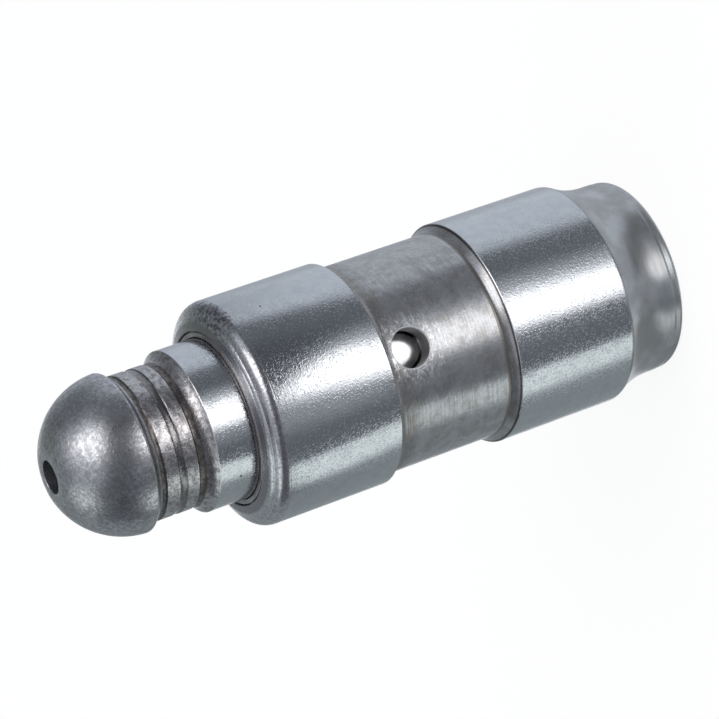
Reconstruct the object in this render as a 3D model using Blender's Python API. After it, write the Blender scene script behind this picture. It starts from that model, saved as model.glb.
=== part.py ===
# Ball-ended hydraulic valve lifter, standing on the flat end of its tail.
# The lifter's axis is Z, the tail's flat end lies in the plane z = 0 and the ball is at the top.
# Lengths are in metres. Outlines are lists of (radius, height) points, turned about Z.

import math

import bmesh
import bpy
from mathutils import Matrix

MM = 0.001
UP = (0.0, 0.0, 1.0)
TURN = 2.0 * math.pi

# Facets
ROUND_STEPS = 60
INNER_STEPS = 40
BALL_STEPS = 24
SMOOTH_ANGLE = math.radians(32.0)

# Housing, outside, from the tail up
LAND_RADIUS = 6.00 * MM
TAIL_STEP = 0.75 * MM
TAIL_EDGE_RADIUS = 0.30 * MM
TAIL_LENGTH = 1.00 * MM
SHOULDER_LENGTH = 2.83 * MM
SHOULDER_CREST_RADIUS = 0.50 * MM
REAR_LAND_LENGTH = 6.78 * MM
GROOVE_DEPTH = 0.40 * MM
GROOVE_LENGTH = 7.16 * MM
REAR_FLANK_LENGTH = 0.54 * MM
FRONT_FLANK_LENGTH = 0.18 * MM
FRONT_LAND_LENGTH = 6.32 * MM
LIP_ROUNDING = 0.87 * MM
LIP_HEIGHT = 1.09 * MM
MOUTH_GAP = 0.36 * MM
MOUTH_EDGE_BREAK = 0.07 * MM

# Housing, inside
HOUSING_WALL = 1.46 * MM
FLOOR_THICKNESS = 2.40 * MM
FLOOR_CORNER = 0.35 * MM
RING_SEAT_DEPTH = 0.42 * MM
ROLLED_EDGE_THICKNESS = 0.25 * MM

# Feed hole, drilled through the groove close to the front land
FEED_HOLE_RADIUS = 1.04 * MM
FEED_HOLE_SETBACK = 1.58 * MM
FEED_HOLE_COUNTERSINK = 0.05 * MM

# Retaining ring
RING_THICKNESS = 0.45 * MM
RING_SPLIT = 0.80 * MM
RING_EDGE_BREAK = 0.05 * MM

# Clearances
GUIDE_CLEARANCE = 0.04 * MM
RING_BORE_CLEARANCE = 0.07 * MM
RING_SEAT_CLEARANCE = 0.04 * MM
STOP_CLEARANCE = 0.03 * MM
SEAT_CLEARANCE = 0.05 * MM
VALVE_CLEARANCE = 0.03 * MM
FLOOR_CLEARANCE = 0.50 * MM

# How far a cutter reaches past the wall it goes through
CUTTER_REACH = 0.20 * MM

# Travel of the plungers below the ring, and of the check ball below its seat
PLUNGER_TRAVEL = 3.00 * MM
CHECK_BALL_LIFT = 0.25 * MM

# Ball plunger, outside
STEM_STEP = 0.21 * MM
STEM_EXPOSED = 2.10 * MM
FLARE_LENGTH = 0.95 * MM
NECK_LENGTH = 3.30 * MM
NECK_STEP = 0.45 * MM
VALLEY_DEPTH = 0.06 * MM
BAND_RAMP = 0.12 * MM
LOCK_GROOVE_SETBACK = 1.56 * MM
LOCK_GROOVE_WIDTH = 0.45 * MM
LOCK_GROOVE_DEPTH = 0.12 * MM
BALL_OVERHANG = 0.38 * MM
BALL_RIM_ANGLE = math.radians(3.0)
BALL_RIM_ROUNDING = 0.25 * MM
BALL_FILLET_RADIUS = 0.70 * MM
GUIDE_FOOT_LENGTH = 2.18 * MM
GUIDE_CHAMFER = 0.20 * MM
OIL_GROOVE_DEPTH = 0.36 * MM
OIL_GROOVE_MARGIN = 0.25 * MM
OIL_GROOVE_RAMP = 0.25 * MM

# Ball plunger, inside
NECK_WALL = 1.14 * MM
RESERVOIR_ROOF = 6.00 * MM
DRILL_POINT_ANGLE = math.radians(59.0)
BALL_HOLE_RADIUS = 0.90 * MM
BALL_HOLE_EDGE = 0.20 * MM
CROSS_HOLE_RADIUS = 0.60 * MM
CROSS_HOLE_SETBACK = 0.95 * MM

# Lower plunger
VALVE_FLOOR_THICKNESS = 0.90 * MM
VALVE_PORT_RADIUS = 0.95 * MM
SKIRT_WALL = 0.75 * MM
SPRING_POCKET_DEPTH = 0.80 * MM
FUNNEL_HEIGHT = 0.45 * MM

# Check valve
CHECK_BALL_RADIUS = 1.25 * MM
SHEET = 0.30 * MM
RETAINER_FLANGE_CLEARANCE = 0.12 * MM
RETAINER_CUP_CLEARANCE = 0.20 * MM
RETAINER_BEND = 0.15 * MM
RETAINER_PORT_RADIUS = 0.40 * MM
RETAINER_WINDOWS = 4
RETAINER_WINDOW_WIDTH = 1.00 * MM
RETAINER_WINDOW_MARGIN = 0.35 * MM
CHECK_SPRING_WIRE_RADIUS = 0.08 * MM
CHECK_SPRING_RADIUS = 0.72 * MM
CHECK_SPRING_HEIGHT = 1.10 * MM
CHECK_SPRING_TURNS = 3.5
CHECK_SPRING_SIDES = 1

# Return spring
RETURN_SPRING_WIRE_RADIUS = 0.275 * MM
RETURN_SPRING_TURNS = 5.0
RETURN_SPRING_SIDES = 2

# Both springs lie closed at each end.
CLOSED_END_TURNS = 1.0
COIL_GAP = 0.04 * MM
COIL_STEPS = 20

# Radii that follow from the wall, the steps and the clearances
TAIL_RADIUS = LAND_RADIUS - TAIL_STEP
GROOVE_RADIUS = LAND_RADIUS - GROOVE_DEPTH
BORE_RADIUS = LAND_RADIUS - HOUSING_WALL
RING_SEAT_RADIUS = BORE_RADIUS + RING_SEAT_DEPTH
GUIDE_RADIUS = BORE_RADIUS - GUIDE_CLEARANCE
STEM_RADIUS = GUIDE_RADIUS - STEM_STEP
MOUTH_RADIUS = STEM_RADIUS + MOUTH_GAP
NECK_RADIUS = STEM_RADIUS - NECK_STEP
BALL_RADIUS = NECK_RADIUS + BALL_OVERHANG
RESERVOIR_RADIUS = NECK_RADIUS - NECK_WALL
SPRING_POCKET_RADIUS = GUIDE_RADIUS - SKIRT_WALL
RETAINER_CUP_RADIUS = CHECK_BALL_RADIUS + RETAINER_CUP_CLEARANCE
RETURN_SPRING_RADIUS = 0.5 * (SPRING_POCKET_RADIUS + RETAINER_CUP_RADIUS + SHEET)

# Heights of the housing, from its tail
SHOULDER_START = TAIL_LENGTH
REAR_LAND_START = SHOULDER_START + SHOULDER_LENGTH
GROOVE_START = REAR_LAND_START + REAR_LAND_LENGTH
GROOVE_END = GROOVE_START + GROOVE_LENGTH
LIP_START = GROOVE_END + FRONT_LAND_LENGTH
MOUTH_HEIGHT = LIP_START + LIP_HEIGHT
FEED_HOLE_HEIGHT = GROOVE_END - FEED_HOLE_SETBACK

# Heights of what hangs from the mouth
RING_TOP = MOUTH_HEIGHT - ROLLED_EDGE_THICKNESS - STOP_CLEARANCE
RING_BASE = RING_TOP - RING_THICKNESS
RING_SEAT_BASE = RING_BASE - STOP_CLEARANCE
GUIDE_TOP = RING_BASE - STOP_CLEARANCE
STEM_END = MOUTH_HEIGHT + STEM_EXPOSED
BALL_HEIGHT = STEM_END + NECK_LENGTH

# The plunger's oil groove stays open to the feed hole over the whole travel.
OIL_GROOVE_BASE = FEED_HOLE_HEIGHT - FEED_HOLE_RADIUS - OIL_GROOVE_MARGIN
OIL_GROOVE_TOP = FEED_HOLE_HEIGHT + FEED_HOLE_RADIUS + OIL_GROOVE_MARGIN + PLUNGER_TRAVEL
BALL_PLUNGER_BASE = OIL_GROOVE_BASE - GUIDE_FOOT_LENGTH

# Heights of the valve and the lower plunger, which clear the floor at the end of the travel
RETAINER_BASE = FLOOR_THICKNESS + PLUNGER_TRAVEL + FLOOR_CLEARANCE
RETAINER_FLOOR = RETAINER_BASE + SHEET
CHECK_SPRING_BASE = RETAINER_FLOOR + VALVE_CLEARANCE
CHECK_SPRING_TOP = CHECK_SPRING_BASE + CHECK_SPRING_HEIGHT
CHECK_SPRING_CONTACT = math.sqrt(CHECK_BALL_RADIUS ** 2 - CHECK_SPRING_RADIUS ** 2)
CHECK_BALL_HEIGHT = CHECK_SPRING_TOP + 2.0 * VALVE_CLEARANCE + CHECK_SPRING_CONTACT
CHECK_BALL_DROP = math.sqrt((CHECK_BALL_RADIUS + VALVE_CLEARANCE) ** 2 - VALVE_PORT_RADIUS ** 2)
VALVE_SEAT_HEIGHT = CHECK_BALL_HEIGHT + CHECK_BALL_DROP
FLANGE_TOP = VALVE_SEAT_HEIGHT - VALVE_CLEARANCE
FLANGE_BASE = FLANGE_TOP - SHEET
LOWER_PLUNGER_BASE = VALVE_SEAT_HEIGHT - SPRING_POCKET_DEPTH
LOWER_PLUNGER_TOP = BALL_PLUNGER_BASE - SEAT_CLEARANCE


def clear_scene():
    for thing in list(bpy.data.objects):
        bpy.data.objects.remove(thing, do_unlink=True)


def metal(name, colour, roughness):
    surface = bpy.data.materials.new(name)
    surface.use_nodes = True
    shader = surface.node_tree.nodes["Principled BSDF"]
    shader.inputs["Base Color"].default_value = (*colour, 1.0)
    shader.inputs["Metallic"].default_value = 1.0
    shader.inputs["Roughness"].default_value = roughness
    return surface


# Points of an arc about (centre_radius, centre_height), from one angle to another.
# An angle is measured from the outward radius towards the top.
def arc(centre_radius, centre_height, radius, start, end, steps):
    points = []
    for step in range(steps + 1):
        angle = start + (end - start) * step / steps
        points.append((centre_radius + radius * math.cos(angle),
                       centre_height + radius * math.sin(angle)))
    return points


def add_object(name, data, surface, height):
    piece = bpy.data.objects.new(name, data)
    piece.location = (0.0, 0.0, height)
    data.materials.append(surface)
    bpy.context.scene.collection.objects.link(piece)
    return piece


# Turn an outline about Z. A closed outline makes a ring, an open one starts and ends on the axis.
def turned_mesh(name, outline, closed, steps, angle=TURN):
    mesh = bpy.data.meshes.new(name)
    shape = bmesh.new()
    corners = [shape.verts.new((radius, 0.0, height)) for radius, height in outline]
    edges = [shape.edges.new(pair) for pair in zip(corners, corners[1:])]
    if closed:
        edges.append(shape.edges.new((corners[-1], corners[0])))
    whole = angle >= TURN
    if not whole:
        face = shape.faces.new(corners)
        edges = [face]
    bmesh.ops.spin(shape, geom=corners + edges, cent=(0.0, 0.0, 0.0), axis=UP, dvec=(0.0, 0.0, 0.0),
                   angle=angle, steps=steps, use_merge=whole, use_duplicate=False)
    bmesh.ops.remove_doubles(shape, verts=shape.verts, dist=1e-8)
    bmesh.ops.recalc_face_normals(shape, faces=shape.faces)
    shape.to_mesh(mesh)
    shape.free()
    mesh.shade_smooth()
    mesh.set_sharp_from_angle(angle=SMOOTH_ANGLE)
    return mesh


# Heights in an outline are in the lifter's frame, so the piece's own height is taken off them.
def lowered(outline, height):
    return [(radius, z - height) for radius, z in outline]


def drill(piece, name, mesh, placement):
    cutter = bpy.data.objects.new(name, mesh)
    cutter.matrix_world = placement
    cutter.hide_render = True
    cutter.display_type = 'WIRE'
    bpy.context.scene.collection.objects.link(cutter)
    cut = piece.modifiers.new(name, 'BOOLEAN')
    cut.operation = 'DIFFERENCE'
    cut.solver = 'EXACT'
    cut.object = cutter
    return cutter


# The two arcs of the soft shoulder between the tail and the rear land.
def shoulder_outline():
    rise = LAND_RADIUS - TAIL_RADIUS
    sweep = 2.0 * math.atan2(rise, SHOULDER_LENGTH)
    both_radii = SHOULDER_LENGTH / math.sin(sweep)
    foot_radius = both_radii - SHOULDER_CREST_RADIUS
    foot = arc(TAIL_RADIUS + foot_radius, SHOULDER_START, foot_radius, math.pi, math.pi - sweep, 5)
    crest = arc(LAND_RADIUS - SHOULDER_CREST_RADIUS, REAR_LAND_START, SHOULDER_CREST_RADIUS,
                -sweep, 0.0, 3)
    return foot + crest[1:]


# The rounding of the lip, then its straight face down to the broken edge of the mouth.
def lip_outline():
    centre = LAND_RADIUS - LIP_ROUNDING
    reach = math.hypot(MOUTH_RADIUS - centre, LIP_HEIGHT)
    contact = math.atan2(LIP_HEIGHT, MOUTH_RADIUS - centre) - math.acos(LIP_ROUNDING / reach)
    outline = arc(centre, LIP_START, LIP_ROUNDING, 0.0, contact, 7)
    outline.append((MOUTH_RADIUS + MOUTH_EDGE_BREAK * math.sin(contact),
                    MOUTH_HEIGHT - MOUTH_EDGE_BREAK * math.cos(contact)))
    outline.append((MOUTH_RADIUS, MOUTH_HEIGHT - MOUTH_EDGE_BREAK))
    return outline


def housing_outline():
    tail_edge = arc(TAIL_RADIUS - TAIL_EDGE_RADIUS, TAIL_EDGE_RADIUS, TAIL_EDGE_RADIUS,
                    -0.5 * math.pi, 0.0, 3)
    groove = [(LAND_RADIUS, GROOVE_START),
              (GROOVE_RADIUS, GROOVE_START + REAR_FLANK_LENGTH),
              (GROOVE_RADIUS, GROOVE_END - FRONT_FLANK_LENGTH),
              (LAND_RADIUS, GROOVE_END)]
    ring_seat = [(MOUTH_RADIUS, MOUTH_HEIGHT - ROLLED_EDGE_THICKNESS),
                 (RING_SEAT_RADIUS, MOUTH_HEIGHT - ROLLED_EDGE_THICKNESS),
                 (RING_SEAT_RADIUS, RING_SEAT_BASE),
                 (BORE_RADIUS, RING_SEAT_BASE)]
    bore_corner = arc(BORE_RADIUS - FLOOR_CORNER, FLOOR_THICKNESS + FLOOR_CORNER, FLOOR_CORNER,
                      0.0, -0.5 * math.pi, 2)
    return ([(0.0, 0.0)] + tail_edge + shoulder_outline() + groove + lip_outline()
            + ring_seat + bore_corner + [(0.0, FLOOR_THICKNESS)])


# The feed hole's drill, with the countersink that breaks its edge in the groove.
def feed_drill_outline():
    surface = math.sqrt(GROOVE_RADIUS ** 2 - FEED_HOLE_RADIUS ** 2)
    wall = math.sqrt(BORE_RADIUS ** 2 - FEED_HOLE_RADIUS ** 2)
    top = LAND_RADIUS + CUTTER_REACH
    base = wall - CUTTER_REACH
    flare_start = surface - FEED_HOLE_COUNTERSINK
    flare_end = FEED_HOLE_RADIUS + top - flare_start
    return [(0.0, base), (FEED_HOLE_RADIUS, base), (FEED_HOLE_RADIUS, flare_start),
            (flare_end, top), (0.0, top)]


def make_housing(surface):
    mesh = turned_mesh("housing", housing_outline(), False, ROUND_STEPS)
    housing = add_object("housing", mesh, surface, 0.0)
    drill_mesh = turned_mesh("feed_hole_drill", feed_drill_outline(), False, INNER_STEPS)
    towards_front = Matrix.Rotation(0.5 * math.pi, 4, 'X')
    placement = Matrix.Translation((0.0, 0.0, FEED_HOLE_HEIGHT)) @ towards_front
    drill(housing, "feed_hole_drill", drill_mesh, placement)
    return housing


def make_retaining_ring(surface):
    inner = STEM_RADIUS + RING_BORE_CLEARANCE
    outer = RING_SEAT_RADIUS - RING_SEAT_CLEARANCE
    edge = RING_EDGE_BREAK
    outline = [(inner, edge), (inner + edge, 0.0), (outer - edge, 0.0), (outer, edge),
               (outer, RING_THICKNESS - edge), (outer - edge, RING_THICKNESS),
               (inner + edge, RING_THICKNESS), (inner, RING_THICKNESS - edge)]
    split = RING_SPLIT / outer
    mesh = turned_mesh("retaining_ring", outline, True, INNER_STEPS, TURN - split)
    mesh.transform(Matrix.Rotation(0.5 * math.pi + 0.5 * split, 4, 'Z'))
    return add_object("retaining_ring", mesh, surface, RING_BASE)


# The concave flare that starts at the stem's sharp edge and runs out on the neck.
def stem_flare_outline(valley):
    rise = STEM_RADIUS - valley
    radius = (FLARE_LENGTH ** 2 + rise ** 2) / (2.0 * rise)
    sweep = math.atan2(FLARE_LENGTH, radius - rise)
    return arc(valley + radius, STEM_END + FLARE_LENGTH, radius, math.pi + sweep, math.pi, 4)


# The lock groove, a shallow arc between its two edges on the neck.
def lock_groove_outline():
    half = 0.5 * LOCK_GROOVE_WIDTH
    radius = (half ** 2 + LOCK_GROOVE_DEPTH ** 2) / (2.0 * LOCK_GROOVE_DEPTH)
    sweep = math.atan2(half, radius - LOCK_GROOVE_DEPTH)
    centre = STEM_END + LOCK_GROOVE_SETBACK + half
    return arc(NECK_RADIUS + radius - LOCK_GROOVE_DEPTH, centre, radius,
               math.pi + sweep, math.pi - sweep, 4)


# Under the ball: a fillet that leaves the neck and runs into the rounding of the ball's rim.
def ball_flank_outline(valley):
    inwards = BALL_RADIUS - BALL_RIM_ROUNDING
    rim_centre = inwards * math.cos(BALL_RIM_ANGLE)
    rim_height = BALL_HEIGHT + inwards * math.sin(BALL_RIM_ANGLE)
    across = valley + BALL_FILLET_RADIUS - rim_centre
    apart = BALL_FILLET_RADIUS + BALL_RIM_ROUNDING
    down = math.sqrt(apart ** 2 - across ** 2)
    lean = math.atan2(down, across)
    fillet = arc(valley + BALL_FILLET_RADIUS, rim_height - down, BALL_FILLET_RADIUS,
                 math.pi, math.pi - lean, 4)
    rim = arc(rim_centre, rim_height, BALL_RIM_ROUNDING, -lean, BALL_RIM_ANGLE, 2)
    return fillet + rim[1:-1]


# The neck, from the stem's sharp edge over two bands and the lock groove to the ball's rim.
def neck_outline():
    valley = NECK_RADIUS - VALLEY_DEPTH
    stem_flare = stem_flare_outline(valley)
    ball_flank = ball_flank_outline(valley)
    bands = [(NECK_RADIUS, STEM_END + FLARE_LENGTH + BAND_RAMP)]
    bands += lock_groove_outline()
    bands += [(NECK_RADIUS, ball_flank[0][1] - BAND_RAMP)]
    return stem_flare + bands + ball_flank


# The outside of the guide, with its oil groove.
def guide_outline():
    floor = GUIDE_RADIUS - OIL_GROOVE_DEPTH
    return [(GUIDE_RADIUS - GUIDE_CHAMFER, BALL_PLUNGER_BASE),
            (GUIDE_RADIUS, BALL_PLUNGER_BASE + GUIDE_CHAMFER),
            (GUIDE_RADIUS, OIL_GROOVE_BASE),
            (floor, OIL_GROOVE_BASE + OIL_GROOVE_RAMP),
            (floor, OIL_GROOVE_TOP - OIL_GROOVE_RAMP),
            (GUIDE_RADIUS, OIL_GROOVE_TOP),
            (GUIDE_RADIUS, GUIDE_TOP),
            (STEM_RADIUS, GUIDE_TOP)]


# The ball from its rim to the oil hole at its pole, and the reservoir down to the open end.
def ball_and_reservoir_outline():
    hole_angle = math.acos((BALL_HOLE_RADIUS + BALL_HOLE_EDGE) / BALL_RADIUS)
    ball = arc(0.0, BALL_HEIGHT, BALL_RADIUS, BALL_RIM_ANGLE, hole_angle, 11)
    hole_top = ball[-1][1] - BALL_HOLE_EDGE
    roof = BALL_HEIGHT + BALL_RADIUS - RESERVOIR_ROOF
    cone = (RESERVOIR_RADIUS - BALL_HOLE_RADIUS) / math.tan(DRILL_POINT_ANGLE)
    return ball + [(BALL_HOLE_RADIUS, hole_top),
                   (BALL_HOLE_RADIUS, roof + cone),
                   (RESERVOIR_RADIUS, roof),
                   (RESERVOIR_RADIUS, BALL_PLUNGER_BASE)]


def make_ball_plunger(surface):
    outline = guide_outline() + neck_outline() + ball_and_reservoir_outline()
    mesh = turned_mesh("ball_plunger", lowered(outline, BALL_PLUNGER_BASE), True, ROUND_STEPS)
    plunger = add_object("ball_plunger", mesh, surface, BALL_PLUNGER_BASE)
    height = OIL_GROOVE_TOP - OIL_GROOVE_RAMP - CROSS_HOLE_SETBACK
    length = GUIDE_RADIUS - 0.5 * RESERVOIR_RADIUS
    drill_mesh = turned_mesh("cross_hole_drill", [(0.0, 0.0), (CROSS_HOLE_RADIUS, 0.0),
                                                  (CROSS_HOLE_RADIUS, length), (0.0, length)],
                             False, BALL_STEPS)
    towards_back = Matrix.Rotation(-0.5 * math.pi, 4, 'X')
    placement = Matrix.Translation((0.0, 0.5 * RESERVOIR_RADIUS, height)) @ towards_back
    drill(plunger, "cross_hole_drill", drill_mesh, placement)
    return plunger


def make_lower_plunger(surface):
    chamfer = GUIDE_CHAMFER
    well = VALVE_SEAT_HEIGHT + VALVE_FLOOR_THICKNESS
    outline = [(SPRING_POCKET_RADIUS, LOWER_PLUNGER_BASE),
               (GUIDE_RADIUS - chamfer, LOWER_PLUNGER_BASE),
               (GUIDE_RADIUS, LOWER_PLUNGER_BASE + chamfer),
               (GUIDE_RADIUS, LOWER_PLUNGER_TOP - chamfer),
               (GUIDE_RADIUS - chamfer, LOWER_PLUNGER_TOP),
               (RESERVOIR_RADIUS, LOWER_PLUNGER_TOP),
               (RESERVOIR_RADIUS, well + FUNNEL_HEIGHT),
               (VALVE_PORT_RADIUS, well),
               (VALVE_PORT_RADIUS, VALVE_SEAT_HEIGHT),
               (SPRING_POCKET_RADIUS, VALVE_SEAT_HEIGHT)]
    mesh = turned_mesh("lower_plunger", lowered(outline, LOWER_PLUNGER_BASE), True, INNER_STEPS)
    return add_object("lower_plunger", mesh, surface, LOWER_PLUNGER_BASE)


# The check ball's cage: a flange under the lower plunger and a cup with oil windows.
def make_ball_retainer(surface):
    inner = RETAINER_CUP_RADIUS
    outer = inner + SHEET
    rim = SPRING_POCKET_RADIUS - RETAINER_FLANGE_CLEARANCE
    bend = RETAINER_BEND
    outline = [(RETAINER_PORT_RADIUS, RETAINER_BASE),
               (outer - bend, RETAINER_BASE),
               (outer, RETAINER_BASE + bend),
               (outer, FLANGE_BASE),
               (rim, FLANGE_BASE),
               (rim, FLANGE_TOP),
               (inner + bend, FLANGE_TOP),
               (inner, FLANGE_TOP - bend),
               (inner, RETAINER_FLOOR),
               (RETAINER_PORT_RADIUS, RETAINER_FLOOR)]
    mesh = turned_mesh("ball_retainer", lowered(outline, RETAINER_BASE), True, INNER_STEPS)
    retainer = add_object("ball_retainer", mesh, surface, RETAINER_BASE)
    low = RETAINER_FLOOR + RETAINER_WINDOW_MARGIN
    high = FLANGE_BASE - RETAINER_WINDOW_MARGIN
    near = math.sqrt(inner ** 2 - (0.5 * RETAINER_WINDOW_WIDTH) ** 2) - CUTTER_REACH
    far = outer + CUTTER_REACH
    for window in range(RETAINER_WINDOWS):
        name = f"window_punch_{window + 1}"
        block = bpy.data.meshes.new(name)
        shape = bmesh.new()
        bmesh.ops.create_cube(shape, size=1.0)
        shape.to_mesh(block)
        shape.free()
        size = Matrix.Diagonal((far - near, RETAINER_WINDOW_WIDTH, high - low, 1.0))
        outwards = Matrix.Translation((0.5 * (near + far), 0.0, 0.5 * (low + high)))
        turn = Matrix.Rotation(TURN * (window + 0.5) / RETAINER_WINDOWS, 4, 'Z')
        drill(retainer, name, block, turn @ outwards @ size)
    return retainer


def make_check_ball(surface):
    outline = arc(0.0, 0.0, CHECK_BALL_RADIUS, -0.5 * math.pi, 0.5 * math.pi, BALL_STEPS // 2)
    mesh = turned_mesh("check_ball", outline, False, BALL_STEPS)
    return add_object("check_ball", mesh, surface, CHECK_BALL_HEIGHT)


# A coil spring whose first and last turns lie closed, drawn as a wire along its helix.
def make_spring(name, surface, radius, wire_radius, turns, base, top, sides):
    closed_pitch = 2.0 * wire_radius + COIL_GAP
    open_turns = turns - 2.0 * CLOSED_END_TURNS
    open_height = top - base - 2.0 * wire_radius - 2.0 * CLOSED_END_TURNS * closed_pitch
    open_pitch = open_height / open_turns
    path = bpy.data.curves.new(name, 'CURVE')
    path.dimensions = '3D'
    path.bevel_depth = wire_radius
    path.bevel_resolution = sides
    path.use_fill_caps = True
    count = round(turns * COIL_STEPS)
    wire = path.splines.new('POLY')
    wire.points.add(count)
    for index, point in enumerate(wire.points):
        turn = turns * index / count
        climb = closed_pitch * min(turn, CLOSED_END_TURNS)
        climb += open_pitch * min(max(turn - CLOSED_END_TURNS, 0.0), open_turns)
        climb += closed_pitch * max(turn - CLOSED_END_TURNS - open_turns, 0.0)
        angle = TURN * turn
        point.co = (radius * math.cos(angle), radius * math.sin(angle), wire_radius + climb, 1.0)
    return add_object(name, path, surface, base)


def add_axis(name, height, parent):
    axis = bpy.data.objects.new(name, None)
    axis.empty_display_size = BALL_RADIUS
    axis.location = (0.0, 0.0, height)
    bpy.context.scene.collection.objects.link(axis)
    if parent is not None:
        carry(axis, parent)
    return axis


def carry(piece, parent):
    bpy.context.view_layer.update()
    piece.parent = parent
    piece.matrix_parent_inverse = parent.matrix_world.inverted()


def build_lifter():
    clear_scene()
    ground_steel = metal("ground_steel", (0.50, 0.52, 0.54), 0.22)
    tumbled_steel = metal("tumbled_steel", (0.42, 0.43, 0.44), 0.34)
    ring_steel = metal("ring_steel", (0.60, 0.60, 0.60), 0.25)
    lapped_steel = metal("lapped_steel", (0.55, 0.55, 0.56), 0.20)
    pressed_steel = metal("pressed_steel", (0.48, 0.47, 0.45), 0.35)
    spring_steel = metal("spring_steel", (0.30, 0.29, 0.28), 0.38)
    bearing_steel = metal("bearing_steel", (0.66, 0.67, 0.68), 0.12)

    housing = make_housing(ground_steel)
    carry(make_retaining_ring(ring_steel), housing)

    flange_underside = FLANGE_BASE - VALVE_CLEARANCE
    return_spring = make_spring("return_spring", spring_steel, RETURN_SPRING_RADIUS,
                                RETURN_SPRING_WIRE_RADIUS, RETURN_SPRING_TURNS,
                                FLOOR_THICKNESS + VALVE_CLEARANCE, flange_underside,
                                RETURN_SPRING_SIDES)
    carry(return_spring, housing)

    plunger_slide = add_axis("plunger_slide_axis", LOWER_PLUNGER_BASE, housing)
    carry(make_lower_plunger(lapped_steel), plunger_slide)
    carry(make_ball_retainer(pressed_steel), plunger_slide)
    check_spring = make_spring("check_spring", spring_steel, CHECK_SPRING_RADIUS,
                               CHECK_SPRING_WIRE_RADIUS, CHECK_SPRING_TURNS,
                               CHECK_SPRING_BASE, CHECK_SPRING_TOP, CHECK_SPRING_SIDES)
    carry(check_spring, plunger_slide)
    carry(make_check_ball(bearing_steel), plunger_slide)

    ball_plunger_turn = add_axis("ball_plunger_turn_axis", BALL_PLUNGER_BASE, plunger_slide)
    carry(make_ball_plunger(tumbled_steel), ball_plunger_turn)
    bpy.context.view_layer.update()


build_lifter()
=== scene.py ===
import bpy
import math
from mathutils import Matrix, Vector


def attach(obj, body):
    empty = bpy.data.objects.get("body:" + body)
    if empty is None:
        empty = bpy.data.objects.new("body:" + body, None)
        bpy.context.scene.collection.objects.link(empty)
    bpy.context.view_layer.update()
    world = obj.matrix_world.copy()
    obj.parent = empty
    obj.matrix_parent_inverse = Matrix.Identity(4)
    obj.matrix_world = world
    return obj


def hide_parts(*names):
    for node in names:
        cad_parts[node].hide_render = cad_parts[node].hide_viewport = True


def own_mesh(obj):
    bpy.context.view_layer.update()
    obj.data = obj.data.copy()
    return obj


# A hydraulic valve lifter, standing on its tail. Sizes in the dictionaries are in millimetres.
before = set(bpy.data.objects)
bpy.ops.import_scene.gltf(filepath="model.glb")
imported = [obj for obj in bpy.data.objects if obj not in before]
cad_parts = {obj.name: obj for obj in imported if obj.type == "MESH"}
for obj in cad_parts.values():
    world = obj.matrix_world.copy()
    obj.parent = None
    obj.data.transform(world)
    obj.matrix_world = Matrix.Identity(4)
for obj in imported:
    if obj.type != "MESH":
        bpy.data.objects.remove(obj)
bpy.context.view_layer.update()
print("frame loaded:", ", ".join(sorted(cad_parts)))

mm = 0.001
fullTurn = 2.0 * math.pi
quarter = 0.5 * math.pi


def srgb(code):  # "#rrggbb" to a linear colour
    parts = [int(code[i:i + 2], 16) / 255.0 for i in (1, 3, 5)]
    return tuple(c / 12.92 if c <= 0.04045 else ((c + 0.055) / 1.055) ** 2.4 for c in parts) + (1.0,)


def addNode(tree, kind, inputs=None, **settings):
    node = tree.nodes.new(kind)
    for name, value in settings.items():
        setattr(node, name, value)
    for key, value in (inputs or {}).items():
        if isinstance(value, bpy.types.NodeSocket):
            tree.links.new(value, node.inputs[key])
        else:
            node.inputs[key].default_value = value
    return node


def arc(centreRadius, centreHeight, radius, start, end, steps):
    # the angle runs from the outward radius towards the top
    angles = [start + (end - start) * i / steps for i in range(steps + 1)]
    return [(centreRadius + radius * math.cos(a), centreHeight + radius * math.sin(a)) for a in angles]


def flare(cylinderRadius, cylinderEnd, rimRadius, length, direction, steps):
    # a concave fillet that leaves a cylinder and reaches a rim further out
    rise = rimRadius - cylinderRadius
    radius = (length ** 2 + rise ** 2) / (2.0 * rise)
    sweep = math.atan2(length, radius - rise)
    return [(cylinderRadius + radius * (1.0 - math.cos(sweep * i / steps)),
             cylinderEnd + direction * radius * math.sin(sweep * i / steps)) for i in range(steps + 1)]


# Materials. Each reads Object coordinates, so that its grain stays on the piece when it moves.

def newMetal(name, metallic=1.0):
    metal = bpy.data.materials.new(name)
    metal.use_nodes = True
    tree = metal.node_tree
    shader = tree.nodes["Principled BSDF"]
    shader.inputs["Metallic"].default_value = metallic
    place = addNode(tree, "ShaderNodeTexCoord").outputs["Object"]
    return metal, tree, shader, place


def grain(tree, place, size, stretch=(1.0, 1.0, 1.0), detail=2.0, rough=0.5, warp=0.0):
    # noise whose blotches are about size millimetres across, drawn out along the axes by stretch
    scaled = addNode(tree, "ShaderNodeMapping",
                     {"Vector": place, "Scale": [1.0 / (size * mm * s) for s in stretch]})
    return addNode(tree, "ShaderNodeTexNoise",
                   {"Vector": scaled.outputs[0], "Scale": 1.0, "Detail": detail, "Roughness": rough,
                    "Distortion": warp}).outputs[0]


def remap(tree, value, low, high, toLow, toHigh):
    return addNode(tree, "ShaderNodeMapRange", {0: value, 1: low, 2: high, 3: toLow, 4: toHigh},
                   interpolation_type="SMOOTHSTEP").outputs[0]


def maths(tree, operation, a, b=0.0, c=0.0):
    return addNode(tree, "ShaderNodeMath", {0: a, 1: b, 2: c}, operation=operation).outputs[0]


def tint(tree, factor, a, b):  # from colour a to colour b
    a = srgb(a) if isinstance(a, str) else a
    b = srgb(b) if isinstance(b, str) else b
    return addNode(tree, "ShaderNodeMix", {0: factor, 6: a, 7: b}, data_type="RGBA").outputs[2]


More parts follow.
